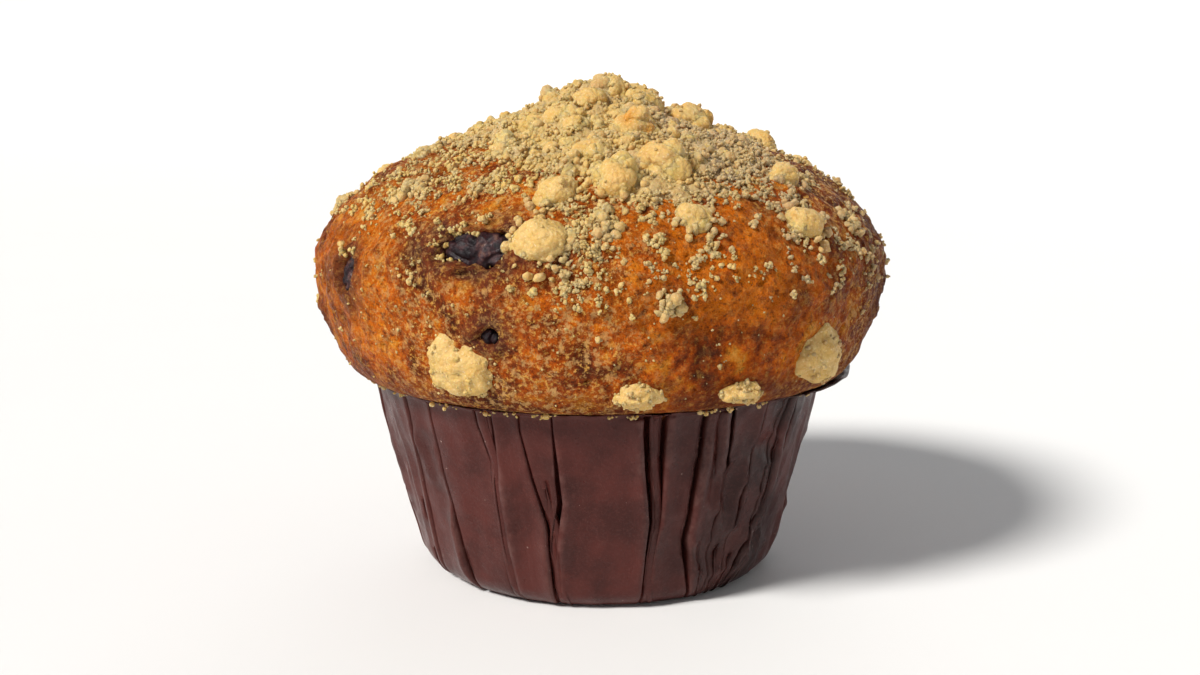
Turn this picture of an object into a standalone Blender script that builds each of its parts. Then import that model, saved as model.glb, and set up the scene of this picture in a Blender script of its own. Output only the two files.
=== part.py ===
"""Blueberry streusel muffin in its pleated paper baking case.

One solid for each piece of the real thing: the paper case, the cake that was baked in it, the
blueberries in the cake, the mound of crumb topping, the larger crumbs that lie on it and the
lumps of topping that sank into the rim of the cake.

Frame: the origin is the centre of the flat bottom, +Z is up and the front is -Y. Lengths below
are in millimetres and azimuths in degrees from the front towards +X; MM turns lengths to metres.
"""
import math

import bmesh
import bpy
import numpy as np
from mathutils import Vector, noise

MM = 0.001
GAP = 0.3                # clearance between pieces that touch

# Paper baking case: 2 inch base, wall pressed into irregular folds, edge turned out under the cake.
BASE_RADIUS = 25.4
RIM_RADIUS = 32.3
CASE_HEIGHT = 27.7
CORNER_RADIUS = 3.0
PAPER = 0.35
FOLD_DEPTH = 0.9
EDGE_TILT = 10.0         # degrees that the turned-out edge rises
EDGE_WIDTH = 1.8
EDGE_EXTRA = 3.6         # how much wider the edge is where it flares most
EDGE_EXTRA_AT = 75.0
COLUMNS = 60             # facets round the case and the cake
FRONT_FOLDS = (-66, -49, -29, -18, -8, 14, 28, 36, 50, 66)
BACK_FOLD_STEP = 14.5

# Cake: ellipse over the widest line, a short outline for the overhang below it.
CAKE_RADIUS = 40.6
WIDEST_HEIGHT = 43.9
DOME_RISE = 19.4
OVERHANG = ((39.8, 39.8), (38.5, 35.3), (37.2, 31.9), (36.2, 30.3), (34.9, 29.3), (32.6, 28.95))
CORE = Vector((0.0, 0.0, 39.3))      # point that the dome's polar surface is measured from
SWELLING = 0.55          # broad unevenness of the crust
DOME_ROWS = 11

# Crumb topping heaped on the dome.
HEAP_RADIUS = 18.5
HEAP_EDGE = 0.9
HEAP_RISE = 6.0
HEAP_SPREAD = 11.0
HEAP_ROUGHNESS = 0.9

# Larger crumbs: azimuth, distance from the axis, radius.
FRONT_CRUMBS = (
    (-11, 38.0, 2.9), (-50, 32.6, 1.8), (4, 30.0, 3.1), (18, 26.2, 3.2), (17, 15.4, 3.0),
    (-3, 23.6, 2.4), (-10, 32.0, 2.3), (1, 36.0, 1.7), (19, 35.8, 1.9), (44, 37.2, 2.4),
    (52, 30.4, 2.1), (63, 37.6, 1.6), (-82, 36.4, 1.6), (-72, 24.5, 1.9), (-36, 21.5, 2.1),
    (-31, 14.6, 1.9), (-15, 6.0, 2.2), (60, 6.2, 2.3), (84, 12.6, 2.8), (12, 40.9, 1.4),
    (-12, 11.6, 1.8), (-64, 9.0, 1.8),
)
BACK_CRUMBS = 11
BACK_CRUMB_TURN = 137.5  # golden angle, spreads them evenly

# Lumps of topping baked into the rim: azimuth, height, half width, half height, half depth.
RIM_LUMPS = (
    (-27, 35.0, 4.0, 3.9, 2.4), (7, 31.8, 2.6, 1.9, 1.8), (28, 31.3, 2.6, 1.6, 1.8),
    (48, 34.9, 3.9, 3.6, 2.2), (128, 34.1, 3.4, 2.8, 2.2), (-146, 35.3, 3.2, 3.4, 2.2),
)

# Blueberries: name, azimuth, height, radius, depth of the centre below the crust.
BLUEBERRIES = (
    ("blueberry_burst", -23, 49.9, 3.9, 2.6), ("blueberry_left", -56, 45.0, 3.2, 2.5),
    ("blueberry_low", -20, 39.3, 2.4, 1.9), ("blueberry_left_low", -76, 36.7, 3.2, 2.5),
    ("blueberry_shoulder", -118, 53.3, 3.6, 2.6), ("blueberry_back", 172, 43.3, 3.8, 2.7),
    ("blueberry_back_right", 112, 49.3, 3.5, 2.6), ("blueberry_right", 78, 39.8, 2.6, 2.1),
)
BERRY_RECESS = 0.4       # the skins have shrunk back from the crust

COLOURS = {              # base colour, roughness
    "paper": ((0.085, 0.036, 0.030), 0.42),
    "crust": ((0.46, 0.17, 0.035), 0.62),
    "streusel": ((0.78, 0.58, 0.28), 0.85),
    "blueberry": ((0.030, 0.014, 0.028), 0.35),
}


def clear_scene():
    for item in list(bpy.data.objects):
        bpy.data.objects.remove(item)


def material(name):
    colour, roughness = COLOURS[name]
    made = bpy.data.materials.new(name)
    made.use_nodes = True
    shader = made.node_tree.nodes["Principled BSDF"]
    shader.inputs["Base Color"].default_value = (*colour, 1.0)
    shader.inputs["Roughness"].default_value = roughness
    shader.inputs["Metallic"].default_value = 0.0
    return made


def add_object(name, points, faces, finish):
    """A smooth-shaded object from points in millimetres."""
    mesh = bpy.data.meshes.new(name)
    mesh.from_pydata([tuple(MM * value for value in point) for point in points], [], faces)
    mesh.materials.append(finish)
    mesh.shade_smooth()
    mesh.set_sharp_from_angle(angle=math.radians(50))
    item = bpy.data.objects.new(name, mesh)
    bpy.context.scene.collection.objects.link(item)
    return item


def revolve(rings):
    """A closed skin round the axis; the rings run from the first pole to the last.

    Every quad is split from its lower corner to the upper corner after it, so that two skins
    a clearance apart stay that far apart.
    """
    points = [Vector(rings[0])]
    for ring in rings[1:-1]:
        points.extend(ring)
    points.append(Vector(rings[-1]))
    count = len(rings[1])
    faces = []
    for k in range(count):
        faces.append((0, 1 + (k + 1) % count, 1 + k))
    for row in range(len(rings) - 3):
        low = 1 + row * count
        high = low + count
        for k in range(count):
            after = (k + 1) % count
            here, there, over, above = low + k, low + after, high + after, high + k
            if points[here].z <= points[above].z:
                faces += [(here, there, over), (here, over, above)]
            else:
                faces += [(here, there, above), (there, over, above)]
    last = len(points) - 1
    top = last - count
    for k in range(count):
        faces.append((last, top + k, top + (k + 1) % count))
    return points, faces


def at(azimuth, radius, height):
    """The point at an azimuth in degrees from the front."""
    turn = math.radians(azimuth)
    return Vector((radius * math.sin(turn), -radius * math.cos(turn), height))


def azimuth_of(point):
    return math.degrees(math.atan2(point.x, -point.y))


def smooth(value):
    value = min(max(value, 0.0), 1.0)
    return value * value * (3.0 - 2.0 * value)


def rough(point, size, seed=0.0):
    """Smooth noise of about -1 to 1 with features of the given size."""
    return noise.noise(Vector(point) / size + Vector((seed, 1.7 * seed, -seed)))


# ---- paper case ----

def fold_azimuths():
    """Where the folds are: the front ones, then an uneven run round the back."""
    folds = list(FRONT_FOLDS)
    turn = folds[-1] + BACK_FOLD_STEP
    while turn < folds[0] + 360 - 0.5 * BACK_FOLD_STEP:
        folds.append(turn + 3.5 * math.sin(2.1 * turn))
        turn += BACK_FOLD_STEP
    return sorted(folds)


FOLDS = fold_azimuths()


def fold_offset(azimuth):
    """Inward offset of the wall: it ramps up to each fold and drops back behind it."""
    turned = FOLDS[0] + (azimuth - FOLDS[0]) % 360
    before = max(fold for fold in FOLDS if fold <= turned)
    later = [fold for fold in FOLDS if fold > turned]
    after = later[0] if later else FOLDS[0] + 360
    return FOLD_DEPTH * (turned - before) / (after - before)


def edge_width(azimuth):
    """The turned-out edge is narrow in front and flares on the right."""
    away = abs((azimuth - EDGE_EXTRA_AT + 180) % 360 - 180)
    return EDGE_WIDTH + EDGE_EXTRA * smooth(1.0 - away / 60.0)


def case_section(azimuth, clearance):
    """Section of the case from the bottom's edge to the rim, moved inward by clearance."""
    slope = math.atan2(RIM_RADIUS - BASE_RADIUS, CASE_HEIGHT)
    inward = Vector((-math.cos(slope), math.sin(slope)))
    offset = fold_offset(azimuth)
    section = []
    for step in (0, 1, 2):
        bend = 0.5 * step * (0.5 * math.pi - slope)
        centre = Vector((BASE_RADIUS - CORNER_RADIUS + 0.7, CORNER_RADIUS))
        arm = CORNER_RADIUS - clearance
        section.append(centre + Vector((arm * math.sin(bend), -arm * math.cos(bend))))
    for share in (0.38, 0.7, 1.0):
        height = share * CASE_HEIGHT
        point = Vector((BASE_RADIUS + share * (RIM_RADIUS - BASE_RADIUS), height))
        fade = smooth(share / 0.38)
        point.x -= fade * offset
        section.append(point + inward * clearance)
    return section


def edge_section(azimuth, clearance):
    """The turned-out edge beyond the wall."""
    tilt = math.radians(EDGE_TILT)
    start = Vector((RIM_RADIUS - fold_offset(azimuth), CASE_HEIGHT))
    along = Vector((math.cos(tilt), math.sin(tilt)))
    up = Vector((-math.sin(tilt), math.cos(tilt)))
    width = edge_width(azimuth)
    return [start + along * (share * width) + up * clearance for share in (0.4, 1.0)]


def paper_case(finish):
    turns = [360.0 * k / COLUMNS for k in range(COLUMNS)]
    outer = [case_section(turn, 0.0) + edge_section(turn, 0.0) for turn in turns]
    inner = [case_section(turn, PAPER) + edge_section(turn, PAPER) for turn in turns]
    rings = [Vector((0, 0, 0))]
    for row in range(len(outer[0])):
        rings.append([at(turn, *outer[k][row]) for k, turn in enumerate(turns)])
    for row in reversed(range(len(inner[0]))):
        rings.append([at(turn, *inner[k][row]) for k, turn in enumerate(turns)])
    rings.append(Vector((0, 0, PAPER)))
    points, faces = revolve(rings)
    return add_object("paper_case", points, faces, finish)


# ---- cake ----

def dome_profile():
    """Elevations and distances from CORE of the dome's outline, from the overhang to the top."""
    outline = [Vector((radius, height)) for radius, height in reversed(OVERHANG)]
    for step in range(41):
        bend = 0.5 * math.pi * step / 40
        height = WIDEST_HEIGHT + DOME_RISE * math.sin(bend)
        outline.append(Vector((CAKE_RADIUS * math.cos(bend), height)))
    elevations = [math.atan2(point.y - CORE.z, point.x) for point in outline]
    distances = [(point - Vector((0.0, CORE.z))).length for point in outline]
    return np.array(elevations), np.array(distances)


ELEVATIONS, DISTANCES = dome_profile()


def dome_distance(direction):
    """Distance from CORE to the crust in a unit direction."""
    elevation = math.asin(min(max(direction.z, -1.0), 1.0))
    plain = float(np.interp(elevation, ELEVATIONS, DISTANCES))
    fade = smooth((elevation - ELEVATIONS[0]) / 0.35)
    return plain + fade * SWELLING * rough(direction * 40.0, 15.0, 3.0)


def cake(finish):
    turns = [360.0 * k / COLUMNS for k in range(COLUMNS)]
    stumps = [case_section(turn, PAPER + GAP) for turn in turns]
    rings = [Vector((0, 0, PAPER + GAP))]
    for row in range(len(stumps[0])):
        rings.append([at(turn, *stumps[k][row]) for k, turn in enumerate(turns)])
    rings.append([point + Vector((0, 0, 2.0 * GAP)) for point in rings[-1]])
    first = ELEVATIONS[0]
    rows = [first + 0.05 * step for step in range(5)]
    rows += [rows[-1] + (0.5 * math.pi - rows[-1]) * step / DOME_ROWS for step in range(1, DOME_ROWS)]
    for elevation in rows:
        ring = []
        for turn in turns:
            flat = at(turn, math.cos(elevation), math.sin(elevation))
            ring.append(CORE + flat * dome_distance(flat))
        rings.append(ring)
    rings.append(CORE + Vector((0, 0, dome_distance(Vector((0, 0, 1))))))
    points, faces = revolve(rings)
    return add_object("cake", points, faces, finish)


# ---- crumb topping ----

def heap_outline(azimuth):
    """Ragged outline of the mound, as a distance from the axis."""
    return HEAP_RADIUS + 1.6 * rough(at(azimuth, 12.0, 0.0), 7.0, 5.0)


def heap_height(point):
    """Height of the mound over the crust; it runs out softly just past its edge."""
    across = math.hypot(point.x, point.y)
    edge = heap_outline(azimuth_of(point))
    rise = HEAP_RISE * math.exp(-((across / HEAP_SPREAD) ** 1.6))
    lumps = HEAP_ROUGHNESS * rough(point, 3.4, 9.0) * smooth(1.0 - across / edge)
    return (HEAP_EDGE + rise + lumps) * smooth((edge + 3.0 - across) / 3.0)


def support(direction):
    """Distance from CORE to the top of whatever lies in a unit direction."""
    base = dome_distance(direction)
    return base + heap_height(direction * base)


def streusel_heap(finish):
    count = 36
    turns = [360.0 * k / count for k in range(count)]

    def ring(share, lift):
        made = []
        for turn in turns:
            across = share * heap_outline(turn)
            steep = math.atan2(WIDEST_HEIGHT + DOME_RISE - CORE.z - across * 0.16, across)
            flat = at(turn, math.cos(steep), math.sin(steep))
            top = support(flat) if lift else dome_distance(flat) + GAP
            made.append(CORE + flat * top)
        return made

    up = Vector((0, 0, 1))
    rings = [CORE + up * (dome_distance(up) + GAP)]
    rings += [ring(share, False) for share in (0.3, 0.65, 1.0)]
    rings += [ring(share, True) for share in (0.98, 0.82, 0.64, 0.46, 0.3, 0.15)]
    rings.append(CORE + up * support(up))
    points, faces = revolve(rings)
    return add_object("streusel_heap", points, faces, finish)


def lump_points(detail, centre, radii, seed):
    """A rough ball with its three radii along the tangent, up the slope and out of the crust."""
    shape = bmesh.new()
    bmesh.ops.create_icosphere(shape, subdivisions=detail, radius=1.0)
    outward = (centre - CORE).normalized()
    tangent = Vector((0, 0, 1)).cross(outward).normalized()
    slope = outward.cross(tangent)
    points = []
    for vert in shape.verts:
        unit = vert.co * (1.0 + 0.22 * rough(vert.co, 0.9, seed))
        local = tangent * unit.x * radii[0] + slope * unit.y * radii[1] + outward * unit.z * radii[2]
        points.append(centre + local)
    faces = [tuple(vert.index for vert in face.verts) for face in shape.faces]
    shape.free()
    return points, faces


def crumb_places():
    """Azimuth, distance from the axis and radius of every larger crumb."""
    places = list(FRONT_CRUMBS)
    for k in range(BACK_CRUMBS):
        turn = 90.0 + (BACK_CRUMB_TURN * k) % 180.0
        across = 37.0 * math.sqrt((k + 0.6) / BACK_CRUMBS)
        places.append((turn, across, 1.5 + 1.1 * abs(math.sin(5.3 * k))))
    return places


def streusel_crumbs(finish):
    """Each crumb lies on the crust or on the mound and keeps clear of those already there."""
    made = []
    for k, (turn, across, wanted) in enumerate(crumb_places()):
        steep = math.atan2(WIDEST_HEIGHT - CORE.z + DOME_RISE * math.sqrt(
            max(0.0, 1.0 - (across / CAKE_RADIUS) ** 2)), across)
        flat = at(turn, math.cos(steep), math.sin(steep))
        seat = CORE + flat * (support(flat) + GAP)
        radius = wanted
        for other, taken in made:
            radius = min(radius, ((seat - other).length - GAP) / 1.22 - taken)
        if radius < 0.9:
            continue
        centre = seat + flat * (0.3 * radius)
        points, faces = lump_points(2, centre, (radius, radius, 0.92 * radius), k + 1.0)
        for point in points:
            arm = point - CORE
            way = arm.normalized()
            point[:] = CORE + way * max(arm.length, support(way) + GAP)
        made.append((seat, radius))
        add_object(f"streusel_crumb_{len(made):02d}", points, faces, finish)


# ---- lumps and berries let into the cake ----

def crust_direction(azimuth, height):
    """Unit direction from CORE to the crust at a height."""
    steep = 0.0
    for _ in range(12):
        flat = at(azimuth, math.cos(steep), math.sin(steep))
        steep = math.asin(min(1.0, (height - CORE.z) / dome_distance(flat)))
    return at(azimuth, math.cos(steep), math.sin(steep))


def cut(item, name, points, faces):
    """Let a pocket into an object; the cutter is only a guide."""
    cutter = add_object(name, points, faces, item.data.materials[0])
    cutter.hide_render = True
    cutter.display_type = "WIRE"
    pocket = item.modifiers.new(name, "BOOLEAN")
    pocket.operation = "DIFFERENCE"
    pocket.solver = "EXACT"
    pocket.object = cutter


def rim_lumps(body, finish):
    floor = CASE_HEIGHT + 2.5      # they stay clear of the paper's turned-out edge
    for k, (azimuth, height, wide, high, deep) in enumerate(RIM_LUMPS):
        way = crust_direction(azimuth, height)
        centre = CORE + way * (dome_distance(way) - 0.35 * deep)
        for grow, is_pocket in ((GAP, True), (0.0, False)):
            radii = (wide + grow, high + grow, deep + grow)
            points, faces = lump_points(2, centre, radii, k + 40.0)
            for point in points:
                point.z = max(point.z, floor - grow)
            if is_pocket:
                cut(body, f"rim_lump_pocket_{k + 1}", points, faces)
            else:
                add_object(f"streusel_rim_lump_{k + 1}", points, faces, finish)


def blueberries(body, finish):
    for name, azimuth, height, radius, depth in BLUEBERRIES:
        way = crust_direction(azimuth, height)
        centre = CORE + way * (dome_distance(way) - depth)
        grown = radius + GAP
        points, faces = lump_points(2, centre, (grown, grown, grown), 0.5)
        cut(body, name + "_pocket", points, faces)
        points, faces = lump_points(2, centre, (radius, radius, radius), 0.5)
        for point in points:
            arm = point - CORE
            ray = arm.normalized()
            point[:] = CORE + ray * min(arm.length, dome_distance(ray) - BERRY_RECESS)
        add_object(name, points, faces, finish)


def main():
    clear_scene()
    finishes = {name: material(name) for name in COLOURS}
    paper_case(finishes["paper"])
    body = cake(finishes["crust"])
    streusel_heap(finishes["streusel"])
    streusel_crumbs(finishes["streusel"])
    rim_lumps(body, finishes["streusel"])
    blueberries(body, finishes["blueberry"])


main()
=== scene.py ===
import itertools
import math

import bmesh
import bpy
import numpy as np
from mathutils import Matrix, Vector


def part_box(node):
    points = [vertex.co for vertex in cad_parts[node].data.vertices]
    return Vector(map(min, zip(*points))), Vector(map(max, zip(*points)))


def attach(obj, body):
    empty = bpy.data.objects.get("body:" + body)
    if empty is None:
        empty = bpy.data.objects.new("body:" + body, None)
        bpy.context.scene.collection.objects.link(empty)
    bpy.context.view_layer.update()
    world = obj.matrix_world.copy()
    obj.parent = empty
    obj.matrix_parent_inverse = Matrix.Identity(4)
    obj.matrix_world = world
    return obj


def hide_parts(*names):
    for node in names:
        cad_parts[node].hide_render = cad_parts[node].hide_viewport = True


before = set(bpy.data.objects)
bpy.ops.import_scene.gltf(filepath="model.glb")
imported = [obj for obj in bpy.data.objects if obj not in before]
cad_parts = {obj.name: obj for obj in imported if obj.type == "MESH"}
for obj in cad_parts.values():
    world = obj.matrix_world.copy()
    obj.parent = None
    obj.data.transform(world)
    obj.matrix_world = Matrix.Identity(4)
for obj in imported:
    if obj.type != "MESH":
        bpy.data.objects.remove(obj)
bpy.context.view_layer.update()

# Lengths are in millimetres and azimuths in degrees from the front (-Y) towards +X.
MM = 0.001


def node_box(name):
    low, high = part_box(name)
    return np.array(low) / MM, np.array(high) / MM


CAKE_LOW, CAKE_HIGH = node_box("cake")
CASE_TOP = node_box("paper_case")[1][2]

WIDEST_SHARE = 0.690                 # how far up the cake its cap is widest
EDGE_RISE = 1.3                      # how much the case's turned-out edge rises over its wall
CAKE_RADIUS = 0.25 * (CAKE_HIGH - CAKE_LOW)[:2].sum() - 0.2
WIDEST = CAKE_LOW[2] + WIDEST_SHARE * (CAKE_HIGH[2] - CAKE_LOW[2])
DOME_RISE = CAKE_HIGH[2] - WIDEST
RIM_HEIGHT = CASE_TOP - EDGE_RISE
BASE_RADIUS = 25.4                   # of the case's wall at the bottom
RIM_RADIUS = 32.3                    # and at its top
UNDERSIDE = RIM_HEIGHT + 1.1         # where the cap's underside meets the stump
CORE = np.array((0.0, 0.0, 39.3))    # the cap's surface is measured from here
UP = np.array((0.0, 0.0, 1.0))
NOISE_RADIUS = 40.0                  # unit directions times this give noise a size in millimetres
PAPER = 0.16                         # thickness of the case's paper


# ---- numbers ----

def smooth(value):
    value = np.clip(value, 0.0, 1.0)
    return value * value * (3.0 - 2.0 * value)


def around(azimuth, centre, width):
    """1 at a centre azimuth, falling softly to 0 a width away from it."""
    away = np.abs((azimuth - centre + 180.0) % 360.0 - 180.0)
    return smooth(1.0 - away / width)


def hashed(cell, seed):
    table = np.random.default_rng(seed).permutation(256)
    mixed = table[cell[:, 0] & 255]
    mixed = table[(mixed + cell[:, 1]) & 255]
    return table[(mixed + cell[:, 2]) & 255]


def cloud(points, size, seed):
    """Gradient noise of about -1 to 1 with features of the given size."""
    slopes = np.random.default_rng(seed + 1000).normal(size=(256, 3))
    slopes /= np.linalg.norm(slopes, axis=1, keepdims=True)
    scaled = points / size
    cell = np.floor(scaled).astype(int)
    part = scaled - cell
    fade = part ** 3 * (part * (part * 6.0 - 15.0) + 10.0)
    total = np.zeros(len(points))
    for corner in itertools.product((0, 1), repeat=3):
        arm = part - corner
        weight = np.prod(np.where(corner, fade, 1.0 - fade), axis=1)
        total += weight * (arm * slopes[hashed(cell + corner, seed)]).sum(axis=1)
    return 1.6 * total


def beads(points, size, seed):
    """Packed rounded beads: 1 in the middle of a bead, 0 in the gaps."""
    offsets = np.random.default_rng(seed + 2000).random((256, 3))
    scaled = points / size
    cell = np.floor(scaled).astype(int)
    part = scaled - cell
    nearest = np.full(len(points), 9.0)
    for corner in itertools.product((-1, 0, 1), repeat=3):
        feature = offsets[hashed(cell + corner, seed)] + corner
        nearest = np.minimum(nearest, ((feature - part) ** 2).sum(axis=1))
    return np.sqrt(np.clip(1.0 - 1.5 * nearest, 0.0, 1.0))


def azimuth_of(points):
    return np.degrees(np.arctan2(points[:, 0], -points[:, 1]))


def at(azimuth, radius, height):
    """Points at azimuths in degrees from the front."""
    turn = np.radians(azimuth)
    x, y, z = np.broadcast_arrays(radius * np.sin(turn), -radius * np.cos(turn), height)
    return np.stack((x, y, z), axis=-1).astype(float)


def unit(vectors):
    return vectors / np.linalg.norm(vectors, axis=-1, keepdims=True)


# ---- meshes ----

def build(name, points, faces, finish, replaced=(), marks=None):
    """A smooth-shaded piece from points in millimetres and an array of triangles."""
    mesh = bpy.data.meshes.new(name)
    mesh.vertices.add(len(points))
    mesh.vertices.foreach_set("co", (points * MM).astype(np.float32).ravel())
    mesh.loops.add(faces.size)
    mesh.loops.foreach_set("vertex_index", faces.astype(np.int32).ravel())
    mesh.polygons.add(len(faces))
    mesh.polygons.foreach_set("loop_start", np.arange(0, faces.size, 3, dtype=np.int32))
    mesh.polygons.foreach_set("use_smooth", np.ones(len(faces), dtype=bool))
    mesh.update(calc_edges=True)
    for mark, values in (marks or {}).items():
        layer = mesh.attributes.new(mark, "FLOAT", "POINT")
        layer.data.foreach_set("value", np.asarray(values, dtype=np.float32))
    mesh.materials.append(finish)
    piece = bpy.data.objects.new(name, mesh)
    bpy.context.scene.collection.objects.link(piece)
    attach(piece, "root")
    if replaced:
        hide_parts(*replaced)
    return piece


def skin(rings, first, last=None):
    """Triangles of a skin round the axis, from a first pole through rings and up to any last pole."""
    rows, count, _ = rings.shape
    points = np.vstack((first, rings.reshape(-1, 3)))
    k = np.arange(count)
    after = (k + 1) % count
    faces = [np.stack((np.zeros_like(k), 1 + after, 1 + k), axis=1)]
    for row in range(rows - 1):
        low = 1 + row * count
        high = low + count
        faces.append(np.stack((low + k, low + after, high + after), axis=1))
        faces.append(np.stack((low + k, high + after, high + k), axis=1))
    if last is not None:
        top = 1 + (rows - 1) * count
        faces.append(np.stack((np.full_like(k, len(points)), top + k, top + after), axis=1))
        points = np.vstack((points, last))
    return points, np.vstack(faces)


def ball(detail):
    """Unit points and triangles of an icosphere."""
    shape = bmesh.new()
    bmesh.ops.create_icosphere(shape, subdivisions=detail, radius=1.0)
    points = np.array([vert.co[:] for vert in shape.verts])
    faces = np.array([[vert.index for vert in face.verts] for face in shape.faces])
    shape.free()
    return points, faces


BALLS = {detail: ball(detail) for detail in (2, 3, 4, 5)}
GRAIN_DETAIL = 2                     # the ball that loose grains are made from
PIECE_LIMIT = 190000                 # triangles in one merged piece of loose grains
CLUMPS_PER_PIECE = 26
SMALL_CRUMB = 1.9                    # crumbs under this radius are small heaps of grains
TOASTED_CRUMB = 4                    # the one large crumb that is baked brown
GRAIN_TRIES = 56000                  # directions drawn for loose grains; most are then left out
CLUMP_TRIES = 1400
SUGAR_TRIES = 3600


# ---- the cap's surface ----

def cap_outline():
    """Radii and heights along the cap's section, from the case to the top."""
    drop = np.linspace(1.0, 0.0, 200)[:-1]
    inner = RIM_RADIUS + 0.3
    lower = inner + (CAKE_RADIUS - inner) * (1.0 - drop ** 1.2) ** (1.0 / 2.6)
    bend = np.linspace(0.0, 0.5 * math.pi, 200)
    radius = np.concatenate((lower, CAKE_RADIUS * np.cos(bend)))
    rise = WIDEST - drop * (WIDEST - UNDERSIDE)
    height = np.concatenate((rise, WIDEST + DOME_RISE * np.sin(bend)))
    return radius, height


OUTLINE_RADIUS, OUTLINE_HEIGHT = cap_outline()
ELEVATIONS = np.arctan2(OUTLINE_HEIGHT - CORE[2], OUTLINE_RADIUS)
DISTANCES = np.hypot(OUTLINE_HEIGHT - CORE[2], OUTLINE_RADIUS)


def plain_distance(ways):
    elevation = np.arcsin(np.clip(ways[:, 2], -1.0, 1.0))
    return np.interp(elevation, ELEVATIONS, DISTANCES)


def way_to(name):
    """Unit direction from CORE to the middle of a CAD node."""
    low, high = node_box(name)
    return unit(0.5 * (low + high) - CORE)


BERRIES = [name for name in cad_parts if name.startswith("blueberry")]
CRUMBS = [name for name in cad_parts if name.startswith("streusel_crumb")]
RIM_LUMPS = [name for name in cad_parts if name.startswith("streusel_rim_lump")]


# Half width and half height of the ragged opening over each blueberry.
OPENINGS = {"burst": (3.9, 1.7), "left": (1.5, 1.8), "low": (0.6, 0.5), "left_low": (0.9, 0.7),
            "shoulder": (2.0, 1.1), "back": (3.0, 1.7), "back_right": (2.2, 1.5), "right": (1.3, 1.0)}


def opening_of(name):
    return OPENINGS[name.replace("blueberry_", "")]


def tangents(way):
    """Unit directions to the right and up the slope, seen from outside."""
    side = unit(np.cross(UP, way))
    return side, np.cross(way, side)


def openness(ways, grow, soft):
    """1 inside the blueberries' openings grown by a margin, falling to 0 over a soft edge."""
    spots = ways * NOISE_RADIUS
    ragged = 0.9 * cloud(spots, 2.3, 31) + 0.55 * cloud(spots, 1.0, 32)
    close = np.zeros(len(ways))
    for name in BERRIES:
        wide, high = opening_of(name)
        side, slope = tangents(way_to(name))
        offset = (ways - way_to(name)) * NOISE_RADIUS
        share = np.hypot(offset @ side / wide, offset @ slope / high)
        outside = (share - 1.0) * min(wide, high) + ragged * min(1.0, high)
        outside = np.where(ways @ way_to(name) > 0.0, outside, 99.0)
        close = np.maximum(close, smooth((grow + soft - outside) / soft))
    return close


# Splits and pinholes in the crust: azimuth, height, half width, half height, depth.
SPLITS = ((-24.5, 46.7, 1.4, 0.5, 1.2), (47.0, 42.9, 0.45, 0.4, 0.8), (-38.0, 41.3, 0.5, 0.4, 0.5),
          (150.0, 51.3, 1.8, 0.5, 1.0), (-140.0, 45.3, 0.5, 0.5, 0.7), (96.0, 53.3, 1.4, 0.4, 0.8),
          (-31.0, 43.5, 0.5, 0.35, 0.5), (8.0, 38.5, 0.4, 0.3, 0.4), (24.0, 44.5, 0.5, 0.3, 0.4))


def split_depth(ways):
    """How deep the crust is split, in millimetres."""
    depth = np.zeros(len(ways))
    heights = CORE[2] + ways[:, 2] * plain_distance(ways)
    for azimuth, height, wide, high, deep in SPLITS:
        turned = (azimuth_of(ways) - azimuth + 180.0) % 360.0 - 180.0
        shares = np.hypot(np.radians(turned) * CAKE_RADIUS / wide, (heights - height) / high)
        depth = np.maximum(depth, deep * smooth(1.6 - shares))
    return depth


def crust_distance(ways):
    """Distance from CORE to the baked crust, with its swells, knobbles, wrinkles and hollows."""
    spots = ways * NOISE_RADIUS
    elevation = np.arcsin(np.clip(ways[:, 2], -1.0, 1.0))
    fade = smooth((elevation - ELEVATIONS[0]) / 0.3)
    swells = 0.5 * cloud(spots, 15.0, 1) + 0.34 * cloud(spots, 6.0, 2)
    knobbles = 0.42 * cloud(spots, 2.8, 3) + 0.28 * cloud(spots, 1.3, 4)
    wrinkles = 0.5 * around(azimuth_of(ways), -82.0, 50.0) * smooth((0.12 - elevation) / 0.25)
    wrinkles = wrinkles * (np.abs(cloud(spots, 4.0, 5)) - 0.3)
    pits = -0.5 * smooth((cloud(spots, 1.3, 6) - 0.62) / 0.2)
    hollow = 2.2 * openness(ways, 0.0, 1.0) - 0.35 * openness(ways, 1.0, 1.4) + split_depth(ways)
    relief = fade * (swells + wrinkles) + knobbles * (0.3 + 0.7 * fade) + pits
    return plain_distance(ways) + relief - hollow


# ---- crumb topping on the cap ----

PEAK_SHIFT = -0.4                    # how far right of the axis the mound is highest
PEAK_ROUNDING = 2.0                  # keeps the top of the mound from coming to a point


def topping_edge(azimuth):
    """How far from the axis the topping reaches; it spills furthest towards the front right."""
    reach = 22.0 + 11.5 * around(azimuth, 14.0, 75.0) - 3.5 * around(azimuth, -62.0, 34.0)
    reach += 2.0 * around(azimuth, 20.0, 45.0)
    return reach + 4.0 * around(azimuth, 150.0, 40.0)


def heap_height(points):
    """Thickness of the topping over the crust; it is negative beyond its ragged edge."""
    across = np.hypot(points[:, 0], points[:, 1])
    edge = topping_edge(azimuth_of(points)) + 2.0 * cloud(points, 5.0, 11)
    right = around(azimuth_of(points), 85.0, 75.0)
    from_peak = np.sqrt((points[:, 0] - PEAK_SHIFT) ** 2 + points[:, 1] ** 2 + PEAK_ROUNDING ** 2)
    body = 5.9 * np.exp(-((from_peak / (6.6 - right)) ** 1.25)) + 0.1
    body -= 0.6 * right * smooth((across - 6.0) / 6.0)
    lumps = 0.6 * cloud(points, 6.0, 12) + 1.7 * beads(points, 4.4, 13)
    lumps = lumps + 0.6 * beads(points, 2.3, 17) - 1.3
    inside = smooth((edge - across) / 5.0)
    return (body + lumps + 0.6) * inside - 0.6


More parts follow.
